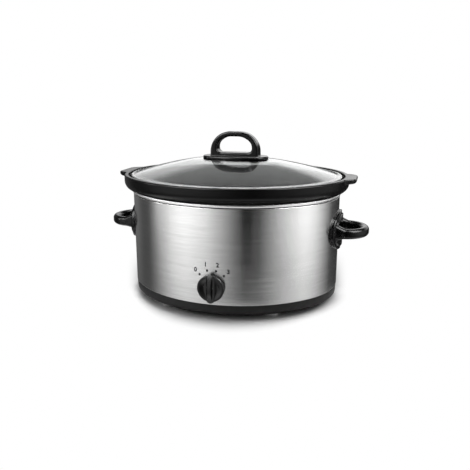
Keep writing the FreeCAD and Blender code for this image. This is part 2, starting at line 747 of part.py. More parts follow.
def switch_spindle():
    shaft = cylinder(ORIGIN, UP, SPINDLE_RADIUS, -SPINDLE_DEPTH, SPINDLE_TOP)
    low = Vector(-SPINDLE_RADIUS, SPINDLE_FLAT, KNOB_HOLLOW_TOP)
    return at_knob(shaft.cut(box(low, Vector(SPINDLE_RADIUS, SPINDLE_RADIUS, SPINDLE_TOP))))


def knob_clip():
    low = Vector(-CLIP_HALF_WIDTH, SPINDLE_FLAT, KNOB_HOLLOW_TOP)
    return at_knob(box(low, Vector(CLIP_HALF_WIDTH, SPINDLE_FLAT + CLIP_THICKNESS, SPINDLE_TOP)))


def plate_front():
    """Height, against the wrap's front, at which a flat plate meets the curved wall from inside."""
    return body_depth(PLATE_HALF, -WRAP_THICKNESS) - HALF_DEPTH


def switch_plate():
    front = plate_front()
    corner = Vector(PLATE_HALF, PLATE_HALF, 0)
    plate = box(UP * (front - PLATE_THICKNESS) - corner, UP * front + corner)
    return at_knob(plate.cut(drill(ORIGIN, UP, BUSH_RADIUS)))


def switch_body():
    front = plate_front() - PLATE_THICKNESS
    half = SWITCH_HALF
    case = box(Vector(-half, -half, front - SWITCH_DEPTH), Vector(half, half, front))
    case = case.makeFillet(SWITCH_ROUND, [edge for edge in case.Edges if edge.BoundBox.ZLength > LEVEL])
    bush = cylinder(ORIGIN, UP, BUSH_RADIUS, front, BUSH_TOP)
    bore = cylinder(ORIGIN, UP, SPINDLE_RADIUS + RUNNING_GAP, -SPINDLE_DEPTH - SCREW_PLAY, BUSH_TOP)
    return at_knob(fuse([case, bush]).cut(bore))


def switch_nut():
    nut = hex_prism(ORIGIN, UP, NUT_ACROSS_FLATS, 0, NUT_HEIGHT)
    return at_knob(nut.cut(drill(ORIGIN, UP, BUSH_RADIUS)))


def terminal_end(column):
    """Lower end of one switch terminal, under the switch."""
    depth = FRONT - plate_front() + PLATE_THICKNESS + SWITCH_DEPTH / 2
    return Vector(column * TERMINAL_PITCH, depth, KNOB_HEIGHT - SWITCH_HALF - TERMINAL_LENGTH)


def switch_terminals():
    half = Vector(TERMINAL_WIDTH / 2, TERMINAL_THICKNESS / 2, 0)
    blades = []
    for column in (-1, 0, 1):
        end = terminal_end(column)
        blades.append(box(end - half, end + half + UP * TERMINAL_LENGTH))
    return Part.makeCompound(blades)


def crock_lug(side):
    face = rounded_face([
        (side * LUG_ROOT, LUG_ROOT_HALF), (side * LUG_TIP, LUG_TIP_HALF, LUG_TIP_ROUND),
        (side * LUG_TIP, -LUG_TIP_HALF, LUG_TIP_ROUND), (side * LUG_ROOT, -LUG_ROOT_HALF),
    ], lambda x, y: Vector(x, y, LIP_TOP - LUG_THICKNESS))
    lug = face.extrude(UP * LUG_THICKNESS).cut(oval_slab(BODY, SEAT_OUTER, 0, FAR))
    for height, radius in ((LIP_TOP, LUG_EDGE_ROUND), (LIP_TOP - LUG_THICKNESS, LUG_UNDER_ROUND)):
        rim = []
        for edge in lug.Edges:
            level = edge.BoundBox.ZLength < LEVEL and abs(edge.BoundBox.ZMin - height) < LEVEL
            if level and abs(edge.CenterOfMass.x) > HALF_LENGTH + SEAT_OUTER:
                rim.append(edge)
        lug = lug.makeFillet(radius, rim)
    return lug


def stoneware_crock():
    bowl = oval_ring(BODY, [
        (SEAT_INNER, SEAT_TOP, LIP_ROUND), (SEAT_OUTER, SEAT_TOP, SEAT_ROUND),
        (SEAT_OUTER, LIP_TOP, SEAT_ROUND), (LIP_PROUD, LIP_TOP, LIP_ROUND),
        (LIP_PROUD, COLLAR_BOTTOM, COLLAR_ROUND),
        (-CROCK_NECK_INSET, COLLAR_BOTTOM, SEAT_ROUND),
        (-CROCK_BOTTOM_INSET, CROCK_BOTTOM, CROCK_BOTTOM_ROUND),
        (-CORE_INSET, CROCK_BOTTOM), (-CORE_INSET, CROCK_FLOOR),
        (-CROCK_FLOOR_INSET, CROCK_FLOOR, CROCK_FLOOR_ROUND),
        (-CROCK_FLARE_INSET, CROCK_FLARE_HEIGHT, CROCK_FLARE_ROUND),
    ])
    floor = oval_slab(BODY, -CORE_INSET, CROCK_BOTTOM, CROCK_FLOOR)
    return fuse([bowl, floor] + [crock_lug(side) for side in SIDES])


def lid_glass():
    rim_top = GLASS_REST + GLASS
    under_top = GLASS_TOP - GLASS
    dome = oval_ring(BODY, [
        (GLASS_PROUD, GLASS_REST, GLASS_EDGE_ROUND), (GLASS_PROUD, rim_top, GLASS_EDGE_ROUND),
        (-DOME_START_INSET, rim_top, DOME_START_ROUND),
        (-DOME_MIDDLE_INSET, rim_top + DOME_MIDDLE_RISE, DOME_MIDDLE_ROUND),
        (-DOME_TOP_INSET, GLASS_TOP, DOME_TOP_ROUND), (-LID_CORE_INSET, GLASS_TOP),
        (-LID_CORE_INSET, under_top), (-DOME_TOP_INSET, under_top, DOME_TOP_ROUND),
        (-DOME_MIDDLE_INSET, GLASS_REST + DOME_MIDDLE_RISE, DOME_MIDDLE_ROUND),
        (-DOME_START_INSET, GLASS_REST, DOME_START_ROUND),
    ])
    crown = oval_slab(BODY, -LID_CORE_INSET, under_top, GLASS_TOP)
    holes = [drill(RIGHT * (side * LID_SCREW_X), UP, LID_HOLE_RADIUS) for side in SIDES]
    return fuse([dome, crown]).cut(holes)


def lid_loop(low, sill):
    """The ring of the lid handle, less deep at the top, with an arched finger gap over a raised sill."""
    half, gap, crown = LOOP_HALF_WIDTH, LOOP_HOLE_HALF, LOOP_HOLE_CROWN_HALF
    outside = [(-half, low), (half, low), (half, LOOP_TOP, LOOP_ROUND), (-half, LOOP_TOP, LOOP_ROUND)]
    inside = [
        (-gap, sill, LOOP_SILL_ROUND), (gap, sill, LOOP_SILL_ROUND),
        (gap, LOOP_HOLE_SHOULDER, LOOP_HOLE_SHOULDER_ROUND), (crown, LOOP_HOLE_TOP, LOOP_HOLE_CROWN_ROUND),
        (-crown, LOOP_HOLE_TOP, LOOP_HOLE_CROWN_ROUND),
        (-gap, LOOP_HOLE_SHOULDER, LOOP_HOLE_SHOULDER_ROUND),
    ]
    front = BACK * -LOOP_DEPTH_LOW
    faces = [rounded_face(corners, lambda x, z: front + RIGHT * x + UP * z) for corners in (outside, inside)]
    arch, hole = [face.extrude(front * -2) for face in faces]
    taper = rounded_face([
        (-LOOP_DEPTH_LOW / 2, low), (LOOP_DEPTH_LOW / 2, low),
        (LOOP_DEPTH_TOP / 2, LOOP_TOP), (-LOOP_DEPTH_TOP / 2, LOOP_TOP),
    ], lambda y, z: Vector(-half, y, z))
    loop = arch.cut(hole).common(taper.extrude(RIGHT * (2 * half)))
    raised = [edge for edge in loop.Edges if edge.BoundBox.ZMax > low + LEVEL]
    return loop.makeFillet(LOOP_EDGE_ROUND, [edge for edge in raised if abs(edge.CenterOfMass.y) > LEVEL])


def lid_handle():
    outline = oval_arcs(LID_FLANGE_HALF_LENGTH, LID_FLANGE_HALF_DEPTH, LID_FLANGE_END_RADIUS)
    flange_top = GLASS_TOP + LID_FLANGE_THICKNESS
    flange = oval_slab(outline, 0, GLASS_TOP, flange_top)
    rim = [edge for edge in flange.Edges if edge.BoundBox.ZMin > flange_top - LEVEL]
    flange = flange.makeFillet(LID_FLANGE_ROUND, rim)
    loop = lid_loop(GLASS_TOP + LID_FLANGE_THICKNESS / 2, flange_top + LOOP_SILL_RISE)
    bore = LID_SCREW_RADIUS + THREAD_GAP
    bores = [cylinder(RIGHT * (side * LID_SCREW_X), UP, bore, 0, LID_SCREW_END) for side in SIDES]
    return fuse([flange, loop]).cut(bores)


def lid_washers():
    washers = []
    high = GLASS_TOP - GLASS
    for side in SIDES:
        centre = RIGHT * (side * LID_SCREW_X)
        washer = cylinder(centre, UP, LID_WASHER_RADIUS, high - LID_WASHER, high)
        washers.append(washer.cut(drill(centre, UP, LID_SCREW_RADIUS + THREAD_GAP)))
    return Part.makeCompound(washers)


def lid_screws():
    under = GLASS_TOP - GLASS - LID_WASHER
    sizes = (LID_SCREW_RADIUS, LID_SCREW_HEAD_RADIUS, LID_SCREW_HEAD, LID_SCREW_END - under)
    places = [Vector(side * LID_SCREW_X, 0, under) for side in SIDES]
    return Part.makeCompound([screw(place, UP, *sizes) for place in places])


def cord_gland():
    centre = Vector(0, HALF_DEPTH, GLAND_HEIGHT)
    lock = -2 * WRAP_THICKNESS
    return turned(centre, BACK, [
        (GLAND_BORE_RADIUS, -GLAND_IN), (GLAND_RADIUS, -GLAND_IN), (GLAND_RADIUS, lock - GLAND_FLANGE),
        (GLAND_RADIUS + GLAND_BARB, lock), (GLAND_RADIUS, lock), (GLAND_RADIUS, 0),
        (GLAND_FLANGE_RADIUS, 0), (GLAND_FLANGE_RADIUS, GLAND_FLANGE, GLAND_ROUND),
        (GLAND_RADIUS, GLAND_FLANGE, GLAND_ROUND),
        (GLAND_RADIUS - GLAND_TAPER, GLAND_OUT, GLAND_ROUND), (GLAND_BORE_RADIUS, GLAND_OUT),
    ])


def connector_mouth(side):
    """Where a lead leaves the left or right crimp connector on the tray floor."""
    depth = CONNECTOR_FRONT if side < 0 else CONNECTOR_FRONT + CONNECTOR_LENGTH
    return Vector(side * LEAD_X, depth, LEAD_HEIGHT)


def lead_connectors():
    caps = []
    for side in SIDES:
        caps.append(turned(connector_mouth(side), BACK * -side, [
            (0, 0), (CONNECTOR_MOUTH_RADIUS, 0), (CONNECTOR_MOUTH_RADIUS, CONNECTOR_MOUTH),
            (CONNECTOR_RADIUS, CONNECTOR_NECK), (CONNECTOR_RADIUS, CONNECTOR_LENGTH, CONNECTOR_ROUND),
            (0, CONNECTOR_LENGTH),
        ]))
    return Part.makeCompound(caps)


def lead(points):
    """An insulated lead along straight runs with round bends."""
    path = Part.Wire(path_edges(points, [LEAD_BEND] * len(points), False))
    ring = Part.Wire(Part.makeCircle(LEAD_RADIUS, points[0], points[1] - points[0]))
    return path.makePipeShell([ring], True, False)


def along_floor(x, y):
    return Vector(x, y, LEAD_HEIGHT)


def cutoff_tail(side):
    """End of one tail of the cut-off, and the corner of the lead that comes down from it."""
    end = cutoff_centre() + RIGHT * (side * CUTOFF_TAIL)
    return [end, Vector(side * LEAD_X, end.y, end.z), along_floor(side * LEAD_X, CUTOFF_Y)]


def heater_tail(x):
    """Lead points up the back of the heater, ending on its outside at x."""
    height = HEATER_LOW + STRAP_WIDTH / 2
    face = body_depth(x, liner_outside(height) + HEATER_THICKNESS + LEAD_GAP)
    rise = face + LEAD_BEND + LEAD_RADIUS
    return [along_floor(x, rise), Vector(x, rise, height), Vector(x, face, height)]


def cutoff_lead():
    return lead(cutoff_tail(-1) + [connector_mouth(-1)])


def switch_lead():
    end = terminal_end(1)
    return lead(cutoff_tail(1) + [along_floor(LEAD_X, end.y), along_floor(end.x, end.y), end])


def neutral_lead():
    return lead([connector_mouth(1)] + heater_tail(LEAD_X))


def low_heat_lead():
    start = terminal_end(0)
    turn = start.y + LOW_LEAD_X
    floor_run = [along_floor(0, start.y), along_floor(0, turn), along_floor(-LOW_LEAD_X, turn + LOW_LEAD_X)]
    return lead([start] + floor_run + heater_tail(-LOW_LEAD_X))


def high_heat_lead():
    start = terminal_end(-1)
    floor_run = [along_floor(start.x, start.y), along_floor(-HIGH_LEAD_X, start.y)]
    return lead([start] + floor_run + heater_tail(-HIGH_LEAD_X))


def cooker_pieces():
    pieces = {
        "base_tray": base_tray(), "base_screws": base_screws(), "liner_posts": liner_posts(),
        "heat_shield": heat_shield(), "outer_wrap": outer_wrap(), "heating_liner": heating_liner(),
        "heater_band": heater_band(), "heater_strap": heater_strap(), "strap_bolt": strap_bolt(),
        "strap_nut": strap_nut(), "thermal_cutoff": thermal_cutoff(), "cutoff_clip": cutoff_clip(),
        "left_handle": side_handle(-1), "right_handle": side_handle(1),
        "handle_screws": handle_screws(), "handle_washers": handle_washers(),
        "control_knob": control_knob(), "knob_clip": knob_clip(), "switch_spindle": switch_spindle(),
        "switch_nut": switch_nut(), "switch_plate": switch_plate(), "switch_body": switch_body(),
        "switch_terminals": switch_terminals(), "cord_gland": cord_gland(),
        "lead_connectors": lead_connectors(), "cutoff_lead": cutoff_lead(), "switch_lead": switch_lead(),
        "neutral_lead": neutral_lead(), "low_heat_lead": low_heat_lead(),
        "high_heat_lead": high_heat_lead(),
        "stoneware_crock": stoneware_crock(), "lid_glass": lid_glass(), "lid_handle": lid_handle(),
        "lid_screws": lid_screws(), "lid_washers": lid_washers(),
    }
    corners = ("front_left", "front_right", "back_left", "back_right")
    for corner, (x, y) in zip(corners, foot_places()):
        pieces[corner + "_foot"] = foot(x, y)
    return pieces


os.makedirs("parts", exist_ok=True)
for node, shape in cooker_pieces().items():
    print(node, len(shape.Solids), "solids, valid:", shape.isValid(), "volume", round(shape.Volume))
    shape.exportStep("parts/" + node + ".step")
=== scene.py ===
import math

import bmesh
import bpy
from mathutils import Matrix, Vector


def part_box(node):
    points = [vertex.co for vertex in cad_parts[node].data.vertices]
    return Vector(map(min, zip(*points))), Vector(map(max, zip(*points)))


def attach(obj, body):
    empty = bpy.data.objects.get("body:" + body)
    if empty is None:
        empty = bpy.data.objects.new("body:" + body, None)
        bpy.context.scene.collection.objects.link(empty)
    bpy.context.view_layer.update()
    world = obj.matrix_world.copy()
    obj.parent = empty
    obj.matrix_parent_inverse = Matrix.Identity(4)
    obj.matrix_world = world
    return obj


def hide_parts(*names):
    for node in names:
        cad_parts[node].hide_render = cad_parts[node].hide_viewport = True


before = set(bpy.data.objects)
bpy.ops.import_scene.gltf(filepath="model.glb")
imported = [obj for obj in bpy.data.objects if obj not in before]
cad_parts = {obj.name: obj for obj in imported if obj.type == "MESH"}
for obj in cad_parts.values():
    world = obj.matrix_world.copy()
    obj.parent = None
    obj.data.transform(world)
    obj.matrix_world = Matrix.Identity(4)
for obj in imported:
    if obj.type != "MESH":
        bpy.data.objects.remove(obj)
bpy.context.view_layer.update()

# Looks of an oval slow cooker, in metres: +Z up, the knob faces -Y and the handles lie along X.

# Camera
CAMERA_PLACE = Vector((0.2123, -0.8404, 0.3102))
CAMERA_AIM = Vector((-0.0009, -0.0002, 0.0878))
CAMERA_LENS = 43.16
CAMERA_SENSOR = 36.0

# Sizes read from the frame
wrap_low, wrap_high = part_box("outer_wrap")
liner_low, liner_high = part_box("heating_liner")
crock_low, crock_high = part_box("stoneware_crock")
glass_low, glass_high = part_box("lid_glass")
knob_low, knob_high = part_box("control_knob")
HALF_LENGTH = wrap_high.x
HALF_DEPTH = -wrap_low.y
LIP_PROUD = -crock_low.y - HALF_DEPTH
GLASS_PROUD = -glass_low.y - HALF_DEPTH
BEAD_PROUD = -liner_low.y - HALF_DEPTH
KNOB_HEIGHT = (knob_low.z + knob_high.z) / 2

# Plan of the body: an oval of two end arcs and two flatter side arcs
END_RADIUS = 0.116
CORE_INSET = 0.100
BACK_ARC = 1
FRONT_ARC = 3

# Fineness of the meshes, with angles in degrees
STATION_STEP = 0.0022
ARC_STEP = 9.0
LEAST_ARC_STEPS = 3
CREASE_ANGLE = 35.0
PARALLEL = 1e-12

# Steel wrap: hemmed edges and the lapped seam at the back
WRAP_THICKNESS = 0.0005
HEM_DEPTH = 0.0020
HEM_ROUND = 0.0005
WRAP_CURL = 0.0006
WRAP_GAP = 0.0011
SEAM_DIRECTION = 78.0
SEAM_WIDTH = 0.009
SEAM_DROP = 0.0018
SEAM_ROUND = 0.0004
SEAM_STEPS = 24

# Heating liner with its rolled bead
LINER_SHEET = 0.0008
LINER_TOP_INSET = 0.0133
LINER_FLOOR_INSET = 0.026
LINER_CORNER = 0.014
LINER_RIM_ROUND = 0.003
BEAD_RADIUS = 0.0025
BEAD_ROUND = 0.999 * BEAD_RADIUS
BEAD_ROOT_ROUND = 0.6 * BEAD_RADIUS

# Stoneware crock
LIP_ROUND = 0.003
COLLAR_BOTTOM = 0.1641
COLLAR_ROUND = 0.0129
SEAT_TOP = 0.1824
SEAT_OUTER = 0.0066
SEAT_INNER = -0.005
SEAT_ROUND = 0.0015
CROCK_NECK_INSET = 0.015
CROCK_BOTTOM_INSET = 0.029
CROCK_BOTTOM_ROUND = 0.014
CROCK_FLOOR = 0.049
CROCK_FLOOR_INSET = 0.0375
CROCK_FLOOR_ROUND = 0.024
CROCK_FLARE_INSET = 0.024
CROCK_FLARE_HEIGHT = 0.158
CROCK_FLARE_ROUND = 0.030
LUG_TIP_HALF = 0.025
LUG_TIP_ROUND = 0.014
LUG_ROOT = 0.150
LUG_ROOT_HALF = 0.042
LUG_THICKNESS = 0.007
LUG_EDGE_ROUND = 0.0024
LUG_UNDER_ROUND = 0.0044
LUG_UNDER_SHARE = 0.5
LUG_ROOT_SHARE = 0.4
LUG_JOG = 0.00002
CROCK_ROUND_STEPS = 9

# Edges of the crock's bare and dull zones: heights from its foot, seat, top and collar, and upward lean
CLAY_WAVER = 0.002
CLAY_END = (0.0022, 0.0030)
DULL_SEAT_START = (-0.002, -0.001)
DULL_SEAT_END = (-0.0016, -0.0008)
DULL_COLLAR_START = (-0.001, 0.0)
DULL_COLLAR_END = (0.002, 0.006)
FACING_UP = (0.5, 0.8)

# Glass lid
GLASS = 0.004
GLASS_EDGE_ROUND = 0.0017
GROUND_EDGE = 0.0016
DOME_START_INSET = 0.003
DOME_START_ROUND = 0.025
DOME_MIDDLE_INSET = 0.045
DOME_MIDDLE_RISE = 0.0131
DOME_MIDDLE_ROUND = 0.600
DOME_TOP_INSET = 0.098
DOME_TOP_ROUND = 0.090
LID_CORE_INSET = 0.108

# Printed dial marks on the wrap's front
MARK_ANGLES = (-45.0, -15.0, 15.0, 45.0)
DOT_REACH = 0.0247
DOT_RADIUS = 0.0017
DOT_SIDES = 20
NUMBER_REACH = 0.0334
NUMBER_SIZE = 0.0086
NUMBER_WEIGHT = 0.0003
INK_FRONT = 0.00004
INK_BACK = 0.00001

# Shine and eased edges of the moulded handles and knob
HANDLE_SHINE = 0.21
HANDLE_DULL = 0.11
KNOB_SHINE = 0.48
KNOB_DULL = 0.24
HANDLE_EASE = 0.004
LID_HANDLE_EASE = 0.002
KNOB_EASE = 0.001
DULL_SPREAD = 0.05
EASE_SAMPLES = 8

# Range in which most of a noise's values lie
NOISE_LOW = 0.3
NOISE_HIGH = 0.7

# Floor, with the lamps' shadow kept close to the body; where that shadow fades to white is painted by a
# mask
FLOOR_SIZE = 12.0
FLOOR_GREY = 0.80
SHADOW_START = 0.06
SHADOW_SIDE = 0.012
SHADOW_FRONT = 0.043
SHADOW_CORNER = 3
SHADOW_DRIFT = 0.6
END_START = 0.75
END_CORNER = 1.5
MIRROR_START = 0.6
MIRROR_END = 1.2

# Painted soft shadow behind the body, which spreads from a point on the floor in front of it
CAST_FROM = Vector((0.232, -0.918))
CAST_MIDDLE = 0.003
CAST_HALF = 0.170
CAST_EDGE = 0.021
CAST_DEPTH = 0.45
CAST_START = 0.92
CAST_FULL = 0.96
CAST_END = 1.18

# Studio shell: its levels round it as (degrees from the front, level), low, high and overhead
SHELL_RADIUS = 3.0
SHELL_SIDES = 64
SHELL_STRENGTH = 15.0
LOW_CARDS = [
    (-180, 0.12), (-118, 0.16), (-104, 0.08), (-92, 0.07), (-80, 0.28), (-58, 1.22), (-44, 1.42),
    (-20, 1.0), (8, 0.17), (13, 0.10), (14, 0.0), (23, 0.0), (24, 0.05), (30, 0.06),
    (60, 0.81), (78, 1.38), (95, 1.08), (115, 0.46), (130, 0.08), (160, 0.02), (180, 0.10),
]
HIGH_CARDS = [
    (-180, 1.7), (-165, 1.4), (-147, 1.0), (-141, 0.15), (-125, 0.15), (-100, 0.12), (-80, 0.3),
    (-58, 1.3), (-42, 1.5), (-20, 1.0), (8, 0.15), (13, 0.09), (14, 0.0), (23, 0.0), (24, 0.05),
    (30, 0.06), (60, 0.87), (78, 1.43), (95, 1.05), (115, 0.5), (128, 1.2), (180, 1.7),
]
OVERHEAD_BOXES = [
    (-180, 0.06), (-78, 0.08), (-66, 13.0), (-30, 13.0), (-18, 0.08),
    (48, 0.08), (60, 15.0), (95, 15.0), (107, 0.2), (180, 0.06),
]

# Heights on the shell as shares of its radius: where the storeys change, then (start, end, share, level)
HIGH_START = (0.10, 0.22)
OVERHEAD_START = (0.42, 0.56)
SHELL_BANDS = [
    (-0.10, -0.42, 0.65, 0.06),
    (-0.50, -0.70, 1.0, 1.4),
    (-0.80, -0.92, 1.0, 0.07),
    (0.92, 0.98, 1.0, 0.06),
]

# Light: the level from all round, then the lamps with their names, places, widths, heights and powers
AMBIENT = 0.22
LAMP_AIM = Vector((0.0, 0.0, 0.12))
LAMPS = [
    ("top_light", Vector((0.0, 0.42, 1.45)), 0.6, 0.6, 18.0),
    ("left_light", Vector((-1.35, -0.36, 0.5)), 0.25, 0.5, 2.5),
]


class Socket:
    """An output of a shader node. Arithmetic on it adds Math nodes."""

    def __init__(self, nodes, output):
        self.nodes = nodes
        self.output = output

    def __getitem__(self, name):
        return Socket(self.nodes, self.output.node.outputs[name])

    def math(self, operation, first, second):
        return self.nodes.add("ShaderNodeMath", {"operation": operation}, {0: first, 1: second})

    def __add__(self, other):
        return self.math("ADD", self, other)

    def __radd__(self, other):
        return self.math("ADD", other, self)

    def __sub__(self, other):
        return self.math("SUBTRACT", self, other)

    def __rsub__(self, other):
        return self.math("SUBTRACT", other, self)

    def __mul__(self, other):
        return self.math("MULTIPLY", self, other)

    def __rmul__(self, other):
        return self.math("MULTIPLY", other, self)

    def __truediv__(self, other):
        return self.math("DIVIDE", self, other)

    def __pow__(self, other):
        return self.math("POWER", self, other)

    def larger(self, other):
        return self.math("MAXIMUM", self, other)


class Nodes:
    """A shader node tree that is written as expressions."""

    def __init__(self, tree):
        self.tree = tree
        tree.nodes.clear()

    def add(self, kind, settings=None, sockets=None):
        """Adds a node: its settings come first, then the values or links of its sockets."""
        node = self.tree.nodes.new(kind)
        for name, setting in (settings or {}).items():
            if name == "stops":
                self.set_stops(node.color_ramp, setting)
            else:
                setattr(node, name, setting)
        for name, value in (sockets or {}).items():
            if isinstance(value, Socket):
                self.tree.links.new(value.output, node.inputs[name])
            else:
                node.inputs[name].default_value = value
        return Socket(self, node.outputs[0]) if node.outputs else None

    def set_stops(self, ramp, stops):
        while len(ramp.elements) < len(stops):
            ramp.elements.new(1.0)
        for element, (position, level) in zip(ramp.elements, stops):
            element.position = position
            element.color = grey(level)

    def place(self):
        return self.add("ShaderNodeTexCoord")["Object"]

    def axes(self):
        """X, Y and Z of the point, in metres."""
        parts = self.add("ShaderNodeSeparateXYZ", {}, {"Vector": self.place()})
        return parts["X"], parts["Y"], parts["Z"]

    def scaled(self, scale):
        """The point with each axis scaled on its own, for stretched grain."""
        settings = {"operation": "MULTIPLY"}
        return self.add("ShaderNodeVectorMath", settings, {0: self.place(), 1: scale})

    def noise(self, scale, detail=2.0, grain=0.5):
        sockets = {"Vector": self.scaled(scale), "Scale": 1.0, "Detail": detail, "Roughness": grain}
        return self.add("ShaderNodeTexNoise", {}, sockets)["Fac"]

    def even_noise(self, scale, detail):
        return self.noise((scale, scale, scale), detail)

    def between(self, value, low, high, first=0.0, last=1.0):
        """Carries value from the range low to high into the range first to last, held at its ends."""
        sockets = {"Value": value, "From Min": low, "From Max": high, "To Min": first, "To Max": last}
        return self.add("ShaderNodeMapRange", {"interpolation_type": "SMOOTHSTEP"}, sockets)

    def varied(self, noise, first=0.0, last=1.0):
        """A value that goes from first to last with a noise."""
        return self.between(noise, NOISE_LOW, NOISE_HIGH, first, last)

    def above(self, value, base, fade):
        """1 where value lies above base, with a soft edge from fade's start to its end."""
        return self.between(value, base + fade[0], base + fade[1])

    def below(self, value, base, fade):
        """1 where value lies below base, with a soft edge from fade's start to its end."""
        return self.between(value, base + fade[0], base + fade[1], 1.0, 0.0)

    def mixed(self, share, first, second):
        """A colour between two colours."""
        node = self.add("ShaderNodeMix", {"data_type": "RGBA"}, {0: share, 6: first, 7: second})
        return Socket(self, node.output.node.outputs[2])

    def bump(self, height, strength, distance, soft_edge=0.0):
        """A normal with fine relief, whose sharp edges are eased over soft_edge where that isn't 0."""
        sockets = {"Height": height, "Strength": strength, "Distance": distance}
        if soft_edge:
            settings = {"samples": EASE_SAMPLES}
            sockets["Normal"] = self.add("ShaderNodeBevel", settings, {"Radius": soft_edge})
        return self.add("ShaderNodeBump", {}, sockets)

    def principled(self, sockets):
        return self.add("ShaderNodeBsdfPrincipled", {}, sockets)

    def surface(self, shader):
        self.add("ShaderNodeOutputMaterial", {}, {"Surface": shader})


def grey(level):
    return (level, level, level, 1.0)


def finish(name):
    """A new material and its empty node tree."""
    material = bpy.data.materials.new(name)
    material.use_nodes = True
    return material, Nodes(material.node_tree)


def brushed_steel():
    """Steel sheet brushed along its length: fine level scratches that stretch highlights upright."""
    material, nodes = finish("brushed_steel")
    hair = nodes.noise((30.0, 30.0, 3800.0), 3.0, 0.6)
    band = nodes.noise((9.0, 9.0, 620.0), 2.0)
    smear = nodes.noise((14.0, 14.0, 22.0), 3.0)
    streaks = hair * 0.6 + band * 0.4
    tone = nodes.varied(streaks)
    nodes.surface(nodes.principled({
        "Base Color": nodes.mixed(tone, (0.66, 0.66, 0.655, 1.0), (0.78, 0.78, 0.775, 1.0)),
        "Metallic": 1.0,
        "Roughness": nodes.varied(streaks * 0.7 + smear * 0.3, 0.19, 0.25),
        "Anisotropic": 0.85,
        "Anisotropic Rotation": 0.25,
        "Normal": nodes.bump(hair, 0.03, 0.0002),
    }))
    return material


def satin_aluminium():
    """Drawn aluminium, with faint drawing lines and dull patches."""
    material, nodes = finish("satin_aluminium")
    lines = nodes.noise((40.0, 40.0, 900.0), 2.0)
    patches = nodes.even_noise(28.0, 4.0)
    nodes.surface(nodes.principled({
        "Base Color": nodes.mixed(patches, grey(0.90), grey(0.96)),
        "Metallic": 1.0,
        "Roughness": nodes.varied(lines * 0.5 + patches * 0.5, 0.34, 0.46),
        "Normal": nodes.bump(lines, 0.05, 0.0002),
    }))
    return material


def gloss_black_plastic(name, shine, dull, soft_edge):
    """Glossy moulded phenolic: nearly black, with a faint flow and orange peel."""
    material, nodes = finish(name)
    flow = nodes.even_noise(35.0, 3.0)
    peel = nodes.even_noise(520.0, 2.0)
    nodes.surface(nodes.principled({
        "Base Color": nodes.mixed(flow, grey(0.004), grey(0.007)),
        "Roughness": nodes.varied(flow, dull, dull + DULL_SPREAD),
        "Specular IOR Level": shine,
        "Normal": nodes.bump(peel, 0.02, 0.0003, soft_edge),
    }))
    return material


def satin_black_plastic():
    """Satin moulded plastic with a fine spark-eroded grain."""
    material, nodes = finish("satin_black_plastic")
    grain = nodes.even_noise(1500.0, 2.0)
    flow = nodes.even_noise(30.0, 3.0)
    nodes.surface(nodes.principled({
        "Base Color": nodes.mixed(flow, grey(0.009), grey(0.014)),
        "Roughness": nodes.varied(grain, 0.40, 0.55),
        "Specular IOR Level": 0.25,
        "Normal": nodes.bump(grain, 0.25, 0.0002),
    }))
    return material


def grey_rubber():
    material, nodes = finish("grey_rubber")
    grain = nodes.even_noise(900.0, 3.0)
    dust = nodes.even_noise(60.0, 4.0)
    nodes.surface(nodes.principled({
        "Base Color": nodes.mixed(dust, grey(0.55), (0.66, 0.66, 0.655, 1.0)),
        "Roughness": nodes.varied(dust, 0.45, 0.65),
        "Normal": nodes.bump(grain, 0.2, 0.0002),
    }))
    return material


def black_glaze():
    """Fired black glaze: slightly wavy and specked, dull on the lid's seat and under the collar.

    The crock's foot is bare clay.
    """
    material, nodes = finish("black_glaze")
    wave = nodes.even_noise(55.0, 2.0)
    speck = nodes.even_noise(900.0, 3.0)
    height = nodes.axes()[2]
    foot = nodes.below(height + wave * CLAY_WAVER, crock_low.z, CLAY_END)
    clay = nodes.mixed(speck, (0.36, 0.27, 0.19, 1.0), (0.50, 0.40, 0.30, 1.0))
    glaze = nodes.mixed(wave, grey(0.006), grey(0.011))
    tilt = nodes.add("ShaderNodeNewGeometry")["Normal"]
    upward = nodes.between(nodes.add("ShaderNodeSeparateXYZ", {}, {"Vector": tilt})["Z"], *FACING_UP)
    seat = upward * nodes.above(height, SEAT_TOP, DULL_SEAT_START)
    seat = seat * nodes.below(height, crock_high.z, DULL_SEAT_END)
    under = nodes.above(height, COLLAR_BOTTOM, DULL_COLLAR_START)
    under = under * nodes.below(height, COLLAR_BOTTOM, DULL_COLLAR_END)
    gloss = nodes.varied(speck * 0.4 + wave * 0.6, 1.0, 0.85)
    nodes.surface(nodes.principled({
        "Base Color": nodes.mixed(foot, glaze, clay),
        "Roughness": 0.8 + speck * 0.15,
        "Specular IOR Level": 0.0,
        "Coat Weight": gloss * (1 - foot) * (1 - seat) * (1 - under),
        "Coat Roughness": 0.2,
        "Coat IOR": 1.25,
        "Normal": nodes.bump(wave * 0.8 + speck * 0.05, 0.10, 0.0012),
    }))
    return material


def clear_glass():
    """Clear tempered glass. Shadow rays pass, so that light reaches the crock."""
    material, nodes = finish("clear_glass")
    haze = nodes.even_noise(38.0, 4.0)
    glass = nodes.principled({
        "Base Color": (0.97, 0.985, 0.98, 1.0),
        "Roughness": nodes.between(haze, 0.35, 0.75, 0.0, 0.035),
        "IOR": 1.46,
        "Transmission Weight": 1.0,
    })
    clear = nodes.add("ShaderNodeBsdfTransparent", {}, {"Color": (0.93, 0.95, 0.94, 1.0)})
    shadow = nodes.add("ShaderNodeLightPath")["Is Shadow Ray"]
    nodes.surface(nodes.add("ShaderNodeMixShader", {}, {0: shadow, 1: glass, 2: clear}))
    return material


